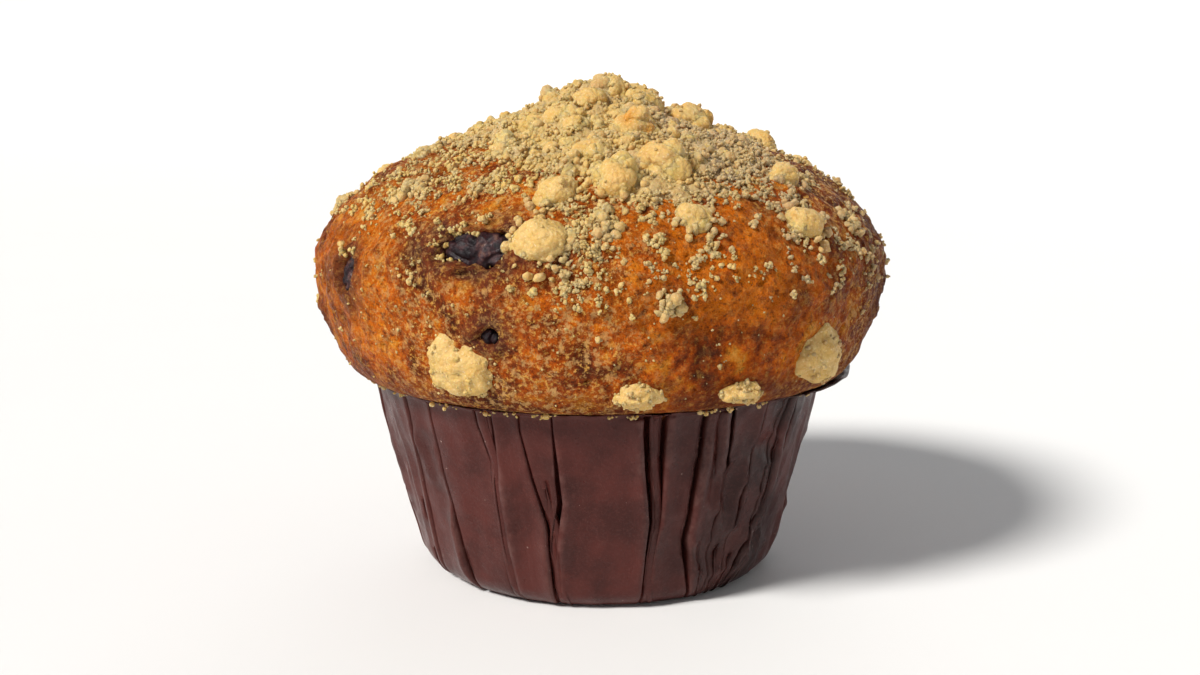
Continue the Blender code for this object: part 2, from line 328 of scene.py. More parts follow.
def sand_and_shade_amount(points):
    """How loose and grey the topping is: grey sand with painted shade, greyest down its right side away
    from the key light.
    """
    across = np.hypot(points[:, 0], points[:, 1])
    # painted shade: greyer down the right side, away from the key light
    side = around(azimuth_of(points), 58.0, 62.0) * smooth((across - 5.0) / 7.0)
    return np.clip(0.32 + 0.66 * side + 0.5 * cloud(points, 5.0, 18), 0.0, 1.0)


def support_distance(ways):
    """Distance from CORE to the top of the crust or of the topping, whichever is higher."""
    crust = crust_distance(ways)
    return crust + np.maximum(heap_height(CORE + ways * crust[:, None]), 0.0)


# ---- materials ----

class Finish:
    """A Principled material with short names for the nodes that feed it."""

    def __init__(self, name, **sockets):
        self.material = bpy.data.materials.new(name)
        self.material.use_nodes = True
        self.tree = self.material.node_tree
        self.shader = self.tree.nodes["Principled BSDF"]
        self.place = self.node("ShaderNodeTexCoord").outputs["Object"]
        for socket, value in sockets.items():
            self.shader.inputs[socket.replace("_", " ")].default_value = value

    def node(self, kind, **settings):
        made = self.tree.nodes.new(kind)
        for setting, value in settings.items():
            setattr(made, setting, value)
        return made

    def feed(self, socket, source):
        if hasattr(source, "is_output"):
            self.tree.links.new(source, socket)
        elif isinstance(source, tuple):
            socket.default_value = (*source, 1.0)
        else:
            socket.default_value = source

    def noise(self, size, detail, roughness, seed):
        made = self.node("ShaderNodeTexNoise", noise_dimensions="4D")
        self.feed(made.inputs["Vector"], self.place)
        made.inputs["W"].default_value = seed
        made.inputs["Scale"].default_value = 1.0 / (size * MM)
        made.inputs["Detail"].default_value = detail
        made.inputs["Roughness"].default_value = roughness
        return made.outputs["Fac"]

    def cells(self, size):
        made = self.node("ShaderNodeTexVoronoi")
        self.feed(made.inputs["Vector"], self.place)
        made.inputs["Scale"].default_value = 1.0 / (size * MM)
        return made.outputs["Distance"]

    def mark(self, name):
        return self.node("ShaderNodeAttribute", attribute_name=name).outputs["Fac"]

    def between(self, source, low, high, start=0.0, end=1.0):
        made = self.node("ShaderNodeMapRange", interpolation_type="SMOOTHSTEP")
        for socket, value in zip(made.inputs, (source, low, high, start, end)):
            self.feed(socket, value)
        return made.outputs["Result"]

    def times(self, first, second):
        made = self.node("ShaderNodeMath", operation="MULTIPLY")
        self.feed(made.inputs[0], first)
        self.feed(made.inputs[1], second)
        return made.outputs[0]

    def mix(self, share, first, second):
        made = self.node("ShaderNodeMix", data_type="RGBA")
        self.feed(made.inputs["Factor"], share)
        self.feed(made.inputs[6], first)
        self.feed(made.inputs[7], second)
        return made.outputs[2]

    def ramp(self, source, *stops):
        """Colours that follow a value, from (value, colour) pairs."""
        made = self.node("ShaderNodeValToRGB")
        self.feed(made.inputs["Fac"], source)
        elements = made.color_ramp.elements
        for place, _ in stops[1:-1]:
            elements.new(place)
        for element, (place, colour) in zip(elements, stops):
            element.position = place
            element.color = (*colour, 1.0)
        return made.outputs["Color"]

    def bump(self, height, depth, under=None):
        made = self.node("ShaderNodeBump")
        self.feed(made.inputs["Height"], height)
        made.inputs["Distance"].default_value = depth * MM
        if under is not None:
            self.feed(made.inputs["Normal"], under)
        return made.outputs["Normal"]

    def finish(self, colour, roughness, normal):
        self.feed(self.shader.inputs["Base Color"], colour)
        self.feed(self.shader.inputs["Roughness"], roughness)
        self.feed(self.shader.inputs["Normal"], normal)
        return self.material


def crust_finish():
    """Baked crust: golden to deep brown blotches, an amber glaze, berry stains, sugary grain and painted
    shade down its right side.
    """
    made = Finish("baked_crust", Specular_IOR_Level=0.11)
    colour = made.ramp(made.noise(5.0, 9.0, 0.68, 1.0), (0.38, (0.085, 0.014, 0.002)),
                       (0.44, (0.240, 0.037, 0.002)), (0.49, (0.440, 0.074, 0.002)),
                       (0.54, (0.640, 0.120, 0.002)), (0.59, (0.760, 0.215, 0.006)),
                       (0.66, (0.880, 0.420, 0.065)))
    amber = made.between(made.noise(4.0, 5.0, 0.65, 2.0), 0.34, 0.56)
    amber = made.times(made.mark("glaze"), amber)
    colour = made.mix(made.times(amber, 0.85), colour, (0.72, 0.170, 0.001))
    dark = made.between(made.noise(2.4, 7.0, 0.72, 3.0), 0.50, 0.62)
    colour = made.mix(made.times(dark, 0.6), colour, (0.150, 0.026, 0.003))
    # baked darker, with painted shade down the right side
    colour = made.mix(made.mark("bake"), colour, (0.140, 0.024, 0.003))
    colour = made.mix(made.mark("stain"), colour, (0.078, 0.024, 0.019))
    grain = made.noise(0.60, 5.0, 0.78, 4.0)
    pale = made.between(made.mark("dust"), 0.0, 1.0, 0.30, 1.0)
    pale = made.times(made.between(grain, 0.52, 0.62), pale)
    colour = made.mix(pale, colour, (0.82, 0.42, 0.085))
    colour = made.mix(made.between(grain, 0.47, 0.36, 0.0, 0.75), colour, (0.070, 0.014, 0.002))
    spots = made.between(made.noise(1.0, 5.0, 0.75, 5.0), 0.50, 0.60)
    dust = made.times(made.mark("dust"), spots)
    colour = made.mix(made.times(dust, 0.85), colour, (0.72, 0.40, 0.14))
    gloss = made.between(made.mark("glaze"), 0.0, 1.0, 0.42, 0.24)
    rough = made.between(made.noise(0.9, 4.0, 0.65, 6.0), 0.38, 0.62, gloss, 0.72)
    normal = made.bump(made.noise(1.6, 4.0, 0.65, 7.0), 1.2)
    normal = made.bump(grain, 0.75, normal)
    return made.finish(colour, rough, normal)


def streusel_finish():
    """Sugar and butter crumb: cream lumps, greyer loose sand partly painted as shade, painted shade in
    the gaps, toasted tips, sugary grain with painted highlights.
    """
    made = Finish("streusel", Subsurface_Weight=0.4, Subsurface_Scale=0.0015, Specular_IOR_Level=0.25)
    made.shader.inputs["Subsurface Radius"].default_value = (1.0, 0.6, 0.3)
    broad = made.between(made.noise(2.2, 5.0, 0.65, 11.0), 0.40, 0.60)
    colour = made.mix(broad, (0.68, 0.475, 0.185), (0.63, 0.405, 0.118))
    # grey sand and painted shade: greyest down the right side and on the small loose grains
    colour = made.mix(made.mark("sandy"), colour, (0.400, 0.280, 0.168))
    colour = made.mix(made.mark("toast"), colour, (0.62, 0.27, 0.035))
    gaps = made.cells(0.55)
    # painted shade: darker in the gaps between the grains
    colour = made.mix(made.between(gaps, 0.50, 0.85, 0.0, 0.30), colour, (0.44, 0.25, 0.06))
    grain = made.noise(0.28, 3.0, 0.7, 12.0)
    # pale sugary tips of the grains, partly a painted highlight
    colour = made.mix(made.between(grain, 0.54, 0.72, 0.0, 0.8), colour, (0.86, 0.70, 0.43))
    normal = made.bump(gaps, -0.15)
    normal = made.bump(grain, 0.16, normal)
    return made.finish(colour, made.between(grain, 0.3, 0.7, 0.75, 0.42), normal)


def berry_finish():
    """Burst berry skin: nearly black purple, a dull bloom on the ridges, wet in the folds."""
    made = Finish("berry_skin", Specular_IOR_Level=0.25)
    colour = made.ramp(made.noise(1.5, 5.0, 0.65, 21.0), (0.40, (0.006, 0.003, 0.005)),
                       (0.50, (0.018, 0.007, 0.010)), (0.58, (0.055, 0.020, 0.022)),
                       (0.68, (0.150, 0.070, 0.045)))
    rough = made.between(made.noise(0.9, 3.0, 0.6, 23.0), 0.35, 0.65, 0.28, 0.55)
    return made.finish(colour, rough, made.bump(made.noise(0.8, 4.0, 0.65, 24.0), 0.35))


def paper_finish():
    """Waxed dark brown baking paper: worn pale creases, blotchy painted shade down the right side and
    fine fibre.
    """
    made = Finish("case_paper", Specular_IOR_Level=0.2)
    blotch = made.between(made.noise(7.0, 4.0, 0.6, 31.0), 0.4, 0.65)
    colour = made.mix(blotch, (0.078, 0.0165, 0.0125), (0.048, 0.0105, 0.0080))
    # painted shade: the paper is darkened down its right side, away from the key light
    colour = made.mix(made.mark("grease"), colour, (0.014, 0.0048, 0.0042))
    fibre = made.between(made.noise(0.35, 4.0, 0.7, 32.0), 0.45, 0.7)
    colour = made.mix(made.times(fibre, 0.4), colour, (0.105, 0.031, 0.026))
    worn = made.between(made.noise(2.4, 5.0, 0.7, 33.0), 0.40, 0.66)
    worn = made.times(made.mark("crease"), worn)
    colour = made.mix(made.times(worn, 0.4), colour, (0.19, 0.095, 0.082))
    speck = made.between(made.noise(0.6, 2.0, 0.5, 34.0), 0.745, 0.765)
    colour = made.mix(speck, colour, (0.34, 0.22, 0.19))
    rough = made.between(made.noise(2.5, 4.0, 0.6, 35.0), 0.3, 0.7, 0.26, 0.44)
    normal = made.bump(made.noise(2.2, 3.0, 0.5, 36.0), 0.14)
    normal = made.bump(fibre, 0.02, normal)
    return made.finish(colour, rough, normal)


# ---- paper case ----

# Each fold: its azimuths by height, how far it gapes by height (0 pressed flat, 1 a dark slit) and
# which of its sides stands proud (-1 left, 1 right).
FRONT_FOLDS = (
    (((26, -76), (0, -78)), ((26, 0.3), (0, 0.3)), -1),
    (((26, -65), (12, -63), (0, -66)), ((26, 0.15), (12, 0.35), (0, 0.1)), 1),
    (((27, -54), (8, -57), (0, -59)), ((26, 0.25), (8, 0.2), (0, 0.25)), -1),
    (((26, -45), (11, -44), (0, -42.5)), ((26, 0.0), (13, 0.12), (10, 0.75), (4, 0.9), (0, 0.5)), -1),
    (((26, -30), (21, -27.9), (0, -27.6)), ((26, 0.35), (22, 0.25), (20, 0.0)), 1),
    (((26, -26), (14, -26), (0, -25.4)), ((26, 0.3), (21, 0.45), (18, 0.9), (8, 0.8), (0, 0.35)), 1),
    (((26, -19), (19, -17), (13, -14.2), (0, -13.6)), ((26, 0.1), (15, 0.3), (11, 0.9), (0, 0.6)), -1),
    (((26, -11), (16, -9.6), (10, -11.6), (0, -12.0)), ((26, 0.15), (19, 0.7), (9, 0.9), (6, 0.2)), 1),
    (((26, 9.8), (21, 10.8), (13, 13.0), (0, 12.6)), ((26, 1.0), (13, 0.9), (8, 0.4), (0, 0.3)), -1),
    (((26, 15.6), (14, 16.0), (8, 15.0), (0, 14.6)), ((26, 0.9), (13, 0.7), (9, 0.2), (0, 0.0)), 1),
    (((26, 26.0), (19, 25.6), (10, 24.8), (0, 29.0)), ((26, 1.0), (9, 1.0), (5, 0.5), (0, 0.4)), 1),
    (((26, 31.5), (20, 33.0), (0, 34.0)), ((26, 1.0), (20, 0.9), (18, 0.1), (0, 0.0)), -1),
    (((26, 43.0), (17, 41.5), (9, 40.0), (0, 37.5)), ((26, 0.1), (18, 0.5), (11, 0.3), (8, 0.0)), -1),
    (((26, 50.5), (9, 49.0), (4, 44.5), (0, 42.0)),
     ((26, 0.0), (10, 0.1), (8, 0.7), (4, 0.6), (2, 0.1)), 1),
    (((26, 56.5), (14, 55.5), (4, 49.0), (0, 47.0)), ((26, 0.8), (12, 0.6), (0, 0.4)), -1),
)
BACK_FOLDS_FROM = 68.0
BACK_FOLDS_TO = 276.0
BACK_FOLD_COUNT = 17
BACK_FOLD_LEVELS = (26, 13, 0)       # heights where the back folds may bend
CASE_ROWS = 74
PANEL_STEP = 1.25                    # degrees between the columns of a panel between two folds


def back_folds():
    """Folds round the back, as uneven as those in front."""
    dice = np.random.default_rng(5)
    step = (BACK_FOLDS_TO - BACK_FOLDS_FROM) / BACK_FOLD_COUNT
    folds = []
    for k in range(BACK_FOLD_COUNT):
        centre = BACK_FOLDS_FROM + (k + dice.uniform(0.25, 0.75)) * step
        lean = dice.uniform(-2.2, 2.2, 3)
        gape = dice.uniform(0.05, 1.0, 3)
        path = tuple((height, centre + shift) for height, shift in zip(BACK_FOLD_LEVELS, lean))
        opening = tuple(zip(BACK_FOLD_LEVELS, gape))
        folds.append((path, opening, int(dice.choice((-1, 1)))))
    return folds


def read_at(pairs, heights):
    """A value that varies with height, from a few (height, value) pairs."""
    known = sorted(pairs)
    return np.interp(heights, [pair[0] for pair in known], [pair[1] for pair in known])


def fold_columns(fold, heights, radius):
    """Azimuths, radial offsets and crease marks of the columns that make one fold."""
    path, opening, proud = fold
    gape = read_at(opening, heights)
    centre = read_at(path, heights)
    width = 0.15 + 0.85 * gape
    depth = 0.10 + 2.1 * gape
    lip = 0.14 + 0.75 * gape
    left_lip = lip * (1.0 if proud < 0 else 0.35)
    right_lip = lip * (1.0 if proud > 0 else 0.35)
    lap = -0.45 * proud * width * gape
    columns = (
        (-1.3 - width, 0.15 * left_lip, 0.0),
        (-0.7 - 0.5 * width, 0.75 * left_lip, 0.2),
        (-0.3 - 0.5 * width, left_lip, 0.7),
        (-0.5 * width + lap, 0.85 * left_lip, 1.0),
        (-0.45 * width + lap, -0.35 * depth, 0.0),
        (-0.12 * width, -depth, 0.0),
        (0.12 * width, -depth, 0.0),
        (0.45 * width + lap, -0.35 * depth, 0.0),
        (0.5 * width + lap, 0.85 * right_lip, 1.0),
        (0.3 + 0.5 * width, right_lip, 0.7),
        (0.7 + 0.5 * width, 0.75 * right_lip, 0.2),
        (1.3 + width, 0.15 * right_lip, 0.0),
    )
    turns = [centre + np.degrees(shift / radius) for shift, _, _ in columns]
    offsets = [np.broadcast_to(offset, heights.shape) for _, offset, _ in columns]
    worn = [mark * (0.35 + 0.65 * gape) for _, _, mark in columns]
    return turns, offsets, worn


def case_rows():
    """Height and radius of each row up the wall of the case, from the base's edge to the rim."""
    slope = math.atan2(RIM_RADIUS - BASE_RADIUS, RIM_HEIGHT)
    heights = np.linspace(0.0, RIM_HEIGHT, CASE_ROWS)
    radii = BASE_RADIUS + heights * math.tan(slope)
    return heights, radii


# Oval hollows with a raised rim, where the paper is crumpled: azimuth, height, half width, half
# height, depth.
DENTS = ((37.5, 15.5, 2.4, 5.2, 0.9), (33.0, 6.5, 3.4, 2.6, 0.5), (52.0, 7.5, 2.6, 4.2, 0.7),
         (48.0, 21.5, 3.0, 2.4, 0.5), (-71.0, 15.0, 2.6, 7.0, 0.6), (-50.0, 20.0, 2.0, 4.0, 0.35),
         (84.0, 13.0, 3.0, 6.0, 0.7), (118.0, 18.0, 3.0, 4.0, 0.6), (152.0, 9.0, 3.6, 4.0, 0.6),
         (205.0, 15.0, 2.6, 6.0, 0.7), (246.0, 10.0, 3.0, 5.0, 0.6))


def dent(points, azimuth, height, wide, high, depth):
    """Offset of one hollow; its ridge is highest at the sides."""
    turned = (azimuth_of(points) - azimuth + 180.0) % 360.0 - 180.0
    across = np.radians(turned) * 0.5 * (BASE_RADIUS + RIM_RADIUS) / wide
    up = (points[:, 2] - height + 0.5 * wide * across) / high
    share = np.hypot(across, up) + 0.15 * cloud(points, 3.0, 48)
    ridge = np.exp(-((share - 1.0) / 0.16) ** 2) * (0.35 + 0.65 * np.abs(across) / (share + 0.01))
    return depth * (0.55 * ridge - smooth(1.0 - share))


def case_columns(heights, radii):
    """Azimuths, radial offsets and crease marks of all the columns round the wall, by height."""
    made = [fold_columns(fold, heights, radii) for fold in list(FRONT_FOLDS) + back_folds()]
    turns, offsets, worn = [], [], []
    for k, (fold_turns, fold_offsets, fold_worn) in enumerate(made):
        turns += fold_turns
        offsets += fold_offsets
        worn += fold_worn
        following = made[(k + 1) % len(made)]
        start = fold_turns[-1]
        end = following[0][0] + (360.0 if k == len(made) - 1 else 0.0)
        count = max(3, int(np.mean(end - start) / PANEL_STEP))
        for share in np.linspace(0.0, 1.0, count + 2)[1:-1]:
            turns.append(start + share * (end - start))
            offsets.append(fold_offsets[-1] + share * (following[1][0] - fold_offsets[-1]))
            worn.append(np.zeros_like(heights))
    turns, offsets, worn = (np.array(columns).T for columns in (turns, offsets, worn))
    lap = 0.9 * smooth(heights / 4.0)            # a fold may lap back this far, but not at the base
    for column in range(1, turns.shape[1]):
        turns[:, column] = np.maximum(turns[:, column], turns[:, column - 1] - lap)
    return turns, offsets, worn


def crumpling(wall):
    """Radial offsets of the soft flutes, crumples and hollows of the wall."""
    flat = wall.reshape(-1, 3)
    stretched = flat * (1.0, 1.0, 0.35)
    crumple = around(azimuth_of(flat), 40.0, 40.0) + 0.5 * around(azimuth_of(flat), 180.0, 110.0)
    relief = 0.38 * cloud(stretched, 5.0, 41) + 0.16 * cloud(stretched, 2.0, 42)
    relief += 1.3 * crumple * (0.3 - np.abs(cloud(flat * (1.0, 1.0, 0.7), 6.5, 43)))
    relief += 0.35 * crumple * (0.3 - np.abs(cloud(flat, 2.8, 46)))
    relief += sum(dent(flat, *place) for place in DENTS)
    return relief.reshape(wall.shape[:-1])


def turned_out_edge(turns, rim, radius, round_rim):
    """Rows of the edge turned out under the cap, widest at the right, with their crease marks."""
    width = 1.0 + 0.35 * cloud(rim, 6.0, 44) + 3.8 * around(turns, 80.0, 50.0)
    width += 1.0 * around(turns, -95.0, 45.0) + 0.8 * around(turns, 190.0, 60.0)
    rows, worn = [], []
    for share in (0.15, 0.35, 0.6, 0.8, 1.0):
        out = radius + min(1.0, 2.0 * share) * (round_rim - radius) + share * width
        wave = 0.22 * share * cloud(rim, 3.0, 45)
        rise = 0.55 * (1.0 - (1.0 - share) ** 2) + 0.10 * share * width + wave
        rows.append(at(turns, out, RIM_HEIGHT + rise)[None])
        worn.append(np.full((1, len(turns)), share ** 3))
    return rows, worn


def paper_case(finish):
    """The case as one sheet: flat bottom, rounded corner, folded wall and turned-out edge."""
    heights, radii = case_rows()
    turns, offsets, worn = case_columns(heights, radii)
    wall = at(turns, radii[:, None], heights[:, None])
    bottom = smooth(heights / 5.0)[:, None]
    lopsided = -0.7 - 0.4 * np.sin(np.radians(turns))
    radius = radii[:, None] + lopsided + (offsets + crumpling(wall)) * (0.35 + 0.65 * bottom)
    # the rounded corner where the wall turns under
    corner = 2.8 - 0.6 * np.sin(np.radians(turns))
    low = np.clip(1.0 - heights[:, None] / corner, 0.0, 1.0)
    radius -= corner * (1.0 - np.sqrt(1.0 - low ** 2))
    edge, edge_worn = turned_out_edge(turns[-1], wall[-1], radius[-1], RIM_RADIUS + lopsided[-1])
    floor = [at(turns[0], share * radius[0], 0.0)[None] for share in (0.25, 0.5, 0.75, 0.92)]
    rings = np.concatenate(floor + [at(turns, radius, heights[:, None])] + edge)
    worn = np.concatenate([np.zeros((len(floor), turns.shape[1])), worn] + edge_worn)
    points, faces = skin(rings, (0.0, 0.0, 0.0))
    # painted shade: the paper darkens in blotches down its right side, away from the key light
    grease = 0.9 * around(azimuth_of(points), 52.0, 44.0) * smooth(0.7 + cloud(points, 6.0, 47))
    marks = {"crease": np.concatenate(((0.0,), worn.ravel())), "grease": grease}
    piece = build("paper_baking_case", points, faces, finish, ("paper_case",), marks)
    sheet = piece.modifiers.new("sheet", "SOLIDIFY")
    sheet.thickness = PAPER * MM
    sheet.offset = -1.0


# ---- cake ----

CAKE_COLUMNS = 560
CAKE_ROWS = 152
STUMP_BOTTOM = PAPER + 0.6           # the underside of the cake, just over the paper


def crust_marks(points):
    """Where the crust is stained by berries, baked darker, painted with shade down its right side,
    dusted with sugar or glazed.
    """
    ways = unit(points - CORE)
    turn = azimuth_of(points)
    spots = ways * NOISE_RADIUS
    level = points[:, 2]
    near = openness(ways, 0.4, 6.0)
    blotch = smooth((cloud(spots, 7.0, 51) + 0.5 * cloud(spots, 2.5, 52) - 0.05) / 0.6)
    mottled = around(turn, -22.0, 40.0) + 0.6 * around(turn, 75.0, 40.0)
    mottled = mottled + 0.7 * around(turn, 180.0, 90.0)
    stain = 0.75 * near ** 1.8 + 0.34 * mottled * blotch + 0.6 * split_depth(ways)
    # darker low on the cap near the case, more so towards the right
    rim = 0.6 + 0.4 * around(turn, 50.0, 60.0) + 0.4 * cloud(spots, 5.0, 53)
    rim = smooth((UNDERSIDE + 6.5 - level) / 6.0) * rim
    upper = 0.35 * smooth((level - 51.3) / 6.0) * around(turn, -60.0, 50.0)
    # painted shade: darker down the right side, away from the key light; a little darker on the left
    # side too
    side = 0.85 * around(turn, 80.0, 46.0) + 0.35 * around(turn, -90.0, 35.0)
    dust = 0.25 + 0.85 * around(turn, -18.0, 46.0) + 0.5 * smooth((level - 47.0) / 10.0)
    dust = (dust + 0.4 * around(turn, 62.0, 22.0)) * (1.0 - 0.7 * around(turn, 22.0, 24.0))
    front_glaze = around(turn, 20.0, 36.0) * smooth((level - 38.0) / 5.0)
    glaze = front_glaze + 0.7 * around(turn, -55.0, 24.0) * smooth((level - 33.0) / 3.0)
    glaze = glaze + 0.7 * around(turn, 140.0, 40.0) + 0.6 * around(turn, -130.0, 40.0)
    return {"stain": np.clip(stain, 0.0, 0.92), "bake": np.clip(0.9 * rim + upper + side, 0.0, 0.85),
            "dust": np.clip(dust, 0.0, 1.0) * (1.0 - 0.6 * near), "glaze": np.clip(glaze, 0.0, 1.0)}


def baked_cake(finish):
    """The cake as one skin: the stump in the case and the overhanging cap."""
    lengths = np.hypot(np.diff(OUTLINE_RADIUS), np.diff(OUTLINE_HEIGHT))
    along = np.concatenate(((0.0,), np.cumsum(lengths)))
    steps = np.linspace(0.0, along[-1], CAKE_ROWS + 1)[:-1]
    radius = np.interp(steps, along, OUTLINE_RADIUS)
    height = np.interp(steps, along, OUTLINE_HEIGHT)
    turns = np.linspace(0.0, 360.0, CAKE_COLUMNS, endpoint=False)
    spots = at(turns[None, :], radius[:, None], height[:, None])
    ways = unit(spots - CORE).reshape(-1, 3)
    cap = (CORE + ways * crust_distance(ways)[:, None]).reshape(spots.shape)
    stump_radii = (BASE_RADIUS - 5.5, BASE_RADIUS - 3.2, RIM_RADIUS - 3.4)
    stump_heights = (STUMP_BOTTOM, 3.0, RIM_HEIGHT - 1.0)
    stump = [at(turns, out, level)[None] for out, level in zip(stump_radii, stump_heights)]
    top = CORE + UP * crust_distance(UP[None])[0]
    points, faces = skin(np.concatenate(stump + [cap]), (0.0, 0.0, STUMP_BOTTOM), top)
    build("baked_cake", points, faces, finish, ("cake",), crust_marks(points))


MOUND_COLUMNS = 420
MOUND_ROWS = 96
MOUND_SINK = 1.6                     # how far under the crust the mound's hidden side lies


def topping_mound(finish):
    """The mound of topping: a crumbly skin that dips under the crust past its edge."""
    turns = np.linspace(0.0, 360.0, MOUND_COLUMNS, endpoint=False)
    shares = np.linspace(1.0, 0.0, MOUND_ROWS + 1)[:-1]
    reach = topping_edge(turns) + 3.0
    across = shares[:, None] * reach[None, :]
    height = WIDEST + DOME_RISE * np.sqrt(1.0 - np.minimum(across / CAKE_RADIUS, 0.999) ** 2)
    spots = at(turns[None, :], across, height)
    ways = unit(spots - CORE).reshape(-1, 3)
    crust = crust_distance(ways)
    seat = CORE + ways * crust[:, None]
    lift = heap_height(seat)
    grain = 0.55 * beads(seat, 1.5, 14) + 0.3 * beads(seat, 0.8, 15) - 0.5
    outer = (CORE + ways * (crust + lift + grain * smooth(lift + 0.4))[:, None]).reshape(spots.shape)
    under = (CORE + ways * (crust - MOUND_SINK)[:, None]).reshape(spots.shape)
    rings = np.concatenate((under[::-12][-6:], outer))
    crust_top = crust_distance(UP[None])[0]
    peak = CORE + UP * (crust_top + heap_height((CORE + UP * crust_top)[None])[0])
    points, faces = skin(rings, CORE + UP * (crust_top - MOUND_SINK), peak)
    toast = np.clip(0.35 * cloud(points, 4.0, 16) - 0.05, 0.0, 0.5)
    marks = {"toast": toast, "sandy": sand_and_shade_amount(points)}
    build("topping_mound", points, faces, finish, ("streusel_heap",), marks)


# ---- crumbs ----

def crumb_shape(detail, radius, seed, rugged=1.0):
    """A crumb about its own centre: a lump of grains stuck together."""
    points, _ = BALLS[detail]
    shift = np.array((3.1, 7.7, 1.9)) * seed
    bumps = 0.22 * cloud(points + shift, 1.2, 61) + 0.18 * beads(points + shift, 0.8, 62)
    form = 0.94 + rugged * bumps
    return grained(points, points * radius * form[:, None], shift)


def grained(outward, solid, shift):
    """The same surface, raised into round grains."""
    grains = 0.24 * beads(solid + shift, 1.1, 63) + 0.18 * beads(solid + shift, 0.6, 64) - 0.25
    return solid + outward * (grains + 0.03 * cloud(solid + shift, 0.25, 65))[:, None]


def turned_to(way, spin):
    """Rotation whose third axis is the outward direction, spun about it."""
    side, slope = tangents(way)
    first = math.cos(spin) * side + math.sin(spin) * slope
    return np.stack((first, np.cross(way, first), way), axis=1)


def grain_kinds():
    """A few different grain shapes of unit size."""
    points, _ = BALLS[GRAIN_DETAIL]
    bumps = [0.42 * cloud(points + 5.0 * kind, 0.9, 80) + 0.14 * cloud(points - 3.0 * kind, 0.4, 81)
             for kind in range(7)]
    return [points * (1.0 + bump)[:, None] for bump in bumps]


GRAINS = grain_kinds()


def grain(dice, centre, radius):
    """Points of one loose grain, turned and stretched at random."""
    turn, _ = np.linalg.qr(dice.normal(size=(3, 3)))
    turn *= np.sign(np.linalg.det(turn))
    shape = GRAINS[dice.integers(len(GRAINS))] * dice.uniform(0.72, 1.28, 3) * radius
    return shape @ turn.T + centre


def merged(name, lumps, toasts, finish, replaced=()):
    """One piece from (points, detail) lumps made on icospheres; its small grains get more grey sand
    colour and painted shade.
    """
    faces, sandy, before = [], [], 0
    for lump, detail in lumps:
        faces.append(BALLS[detail][1] + before)
        # small grains take more of the grey sand colour and painted shade than lumps
        sandy.append(np.full(len(lump), 0.8 if detail < 4 else 0.1))
        before += len(lump)
    points = np.vstack([lump for lump, _ in lumps])
    marks = {"toast": np.concatenate(toasts), "sandy": np.concatenate(sandy) * sand_and_shade_amount(points)}
    build(name, points, np.vstack(faces), finish, replaced, marks)


def stuck_grains(dice, surface, outward, count, sizes):
    """Loose grains stuck on a lump's surface."""
    chosen = dice.integers(0, len(surface), count)
    radii = dice.uniform(*sizes, count)
    return [(grain(dice, surface[k] + outward[k] * 0.35 * radius, radius), GRAIN_DETAIL)
            for k, radius in zip(chosen, radii)]


def toast_of(points, amount, seed):
    return np.clip(amount * (0.6 + 1.1 * cloud(points, 2.4, seed)), 0.0, 0.9)


def fused_lumps(dice, centre, turn, radius, seed, detail):
    """A crumb that is really a few smaller ones baked together."""
    main = crumb_shape(detail, 0.84 * radius, seed, 1.3) * (*dice.uniform(0.85, 1.2, 2), 0.9)
    lumps = [(main @ turn.T + centre, detail)]
    for part in range(5):
        arm = unit(dice.normal(size=3)) * 0.68 * radius
        size = radius * dice.uniform(0.3, 0.55)
        shape = crumb_shape(detail - 1, size, seed + 0.13 * part + 0.07, 1.5)
        lumps.append((shape @ turn.T + centre + arm, detail - 1))
    return lumps


def heap_of_grains(dice, way, reach, count, pile=0.35):
    """A small heap of loose grains lying on the cap."""
    side, slope = tangents(way)
    out = reach * dice.random(count) ** 0.7
    turn = dice.uniform(0.0, 2.0 * math.pi, count)
    aside = np.outer(out * np.cos(turn), side) + np.outer(out * np.sin(turn), slope)
    ways = unit(way * NOISE_RADIUS + aside)
    base = support_distance(ways)
    radii = 0.2 + 0.5 * dice.random(count) ** 1.5
    lift = 0.25 * radii + pile * reach * np.maximum(1.0 - out / reach, 0.0) * dice.random(count)
    places = CORE + ways * (base + lift)[:, None]
    return [(grain(dice, place, radius), GRAIN_DETAIL) for place, radius in zip(places, radii)]


def large_crumbs(finish):
    """The crumbs that are seen one by one, where the CAD has them; the smallest are small heaps."""
    for k, name in enumerate(CRUMBS):
        dice = np.random.default_rng(200 + k)
        low, high = node_box(name)
        radius = 0.54 * float(np.mean(high - low))
        way = way_to(name)
        if radius < SMALL_CRUMB:
            lumps = heap_of_grains(dice, way, 1.35 * radius, int(15.0 * radius ** 2) + 6)
            toasts = [np.full(len(points), 0.05) for points, _ in lumps]
            merged(f"crumb_{k + 1:02d}", lumps, toasts, finish, (name,))
            continue
        base = support_distance(way[None])[0]
        turn = turned_to(way, 0.6 * math.sin(1.3 * k))
        centre = CORE + way * (base - 0.1 * radius)
        if heap_height(centre[None])[0] > 0.2:
            lumps = fused_lumps(dice, centre, turn, radius, k + 1, 5)
        else:
            stretch = (dice.uniform(1.0, 1.25), dice.uniform(0.8, 0.95), 0.85)
            lumps = [(crumb_shape(5, radius, k + 1) * stretch @ turn.T + centre, 5)]
        placed = lumps[0][0]
        lumps += stuck_grains(dice, placed, BALLS[5][0] @ turn.T, int(1.5 * radius ** 2), (0.15, 0.38))
        lumps += heap_of_grains(dice, way, 1.6 * radius, int(6.0 * radius ** 2), 0.15)
        amount = 0.75 if k == TOASTED_CRUMB else 0.08 + 0.2 * math.sin(2.7 * k) ** 2
        toasts = [toast_of(points, amount, 66) for points, _ in lumps]
        merged(f"crumb_{k + 1:02d}", lumps, toasts, finish, (name,))


